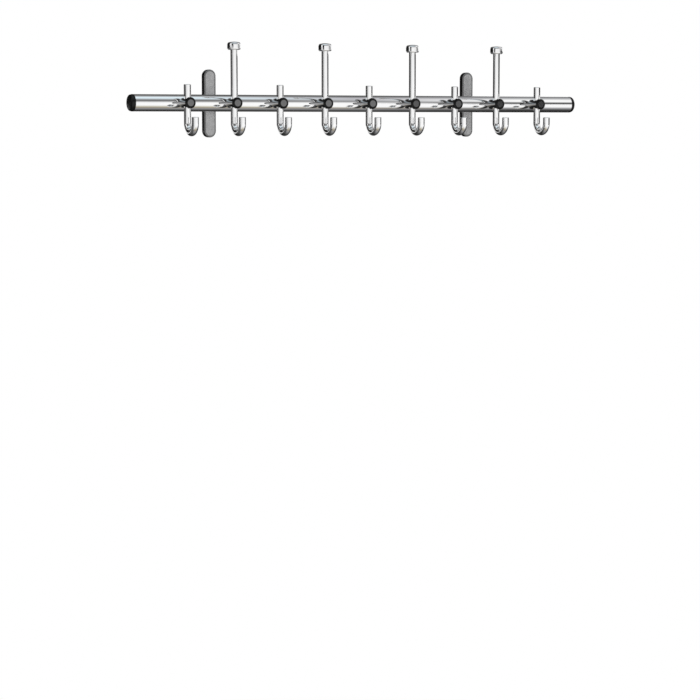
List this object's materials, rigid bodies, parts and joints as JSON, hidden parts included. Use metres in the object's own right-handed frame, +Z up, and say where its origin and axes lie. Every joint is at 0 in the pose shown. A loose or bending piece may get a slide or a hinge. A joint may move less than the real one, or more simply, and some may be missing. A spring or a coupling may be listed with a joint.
{
  "type": "wall coat rack",
  "caption": "Wall coat rack: a chromed rail held off the wall by grey brackets, with clamped round rods bent into J hooks, alternate ones tall with a hat knob, and black end caps.",
  "frame": {"origin": "centre of the four wall-screw holes, on the wall plane, at mid-length and at the height of the rail's axis", "axes": "+X along the rail to the viewer's right, +Y into the wall, +Z up"},
  "size_m": [1.0196, 0.1755, 0.1882],
  "materials": {
    "chrome": "polished chrome plate",
    "black_plastic": "satin moulded black",
    "grey_paint": "satin metallic grey coat",
    "zinc_steel": "zinc-plated steel"
  },
  "bodies": {
    "root": {"rail_tube": "chrome", "end_cap_left": "black_plastic", "end_cap_right": "black_plastic", "hook_1": "chrome", "boss_1": "chrome", "plug_1": "black_plastic", "hook_2": "chrome", "boss_2": "chrome", "plug_2": "black_plastic", "hat_knob_2": "chrome", "hook_3": "chrome", "boss_3": "chrome", "plug_3": "black_plastic", "hook_4": "chrome", "boss_4": "chrome", "plug_4": "black_plastic", "hat_knob_4": "chrome", "hook_5": "chrome", "boss_5": "chrome", "plug_5": "black_plastic", "hook_6": "chrome", "boss_6": "chrome", "plug_6": "black_plastic", "hat_knob_6": "chrome", "hook_7": "chrome", "boss_7": "chrome", "plug_7": "black_plastic", "hook_8": "chrome", "boss_8": "chrome", "plug_8": "black_plastic", "hat_knob_8": "chrome", "hook_9": "chrome", "boss_9": "chrome", "plug_9": "black_plastic", "wall_plate_left": "zinc_steel", "bracket_cover_left": "grey_paint", "bracket_arm_left": "chrome", "wall_plate_right": "zinc_steel", "bracket_cover_right": "grey_paint", "bracket_arm_right": "chrome", "hook_screws": "zinc_steel", "hook_rivet_nuts": "zinc_steel", "arm_bolts": "zinc_steel", "arm_rivet_nuts": "zinc_steel"}
  },
  "joints": []
}
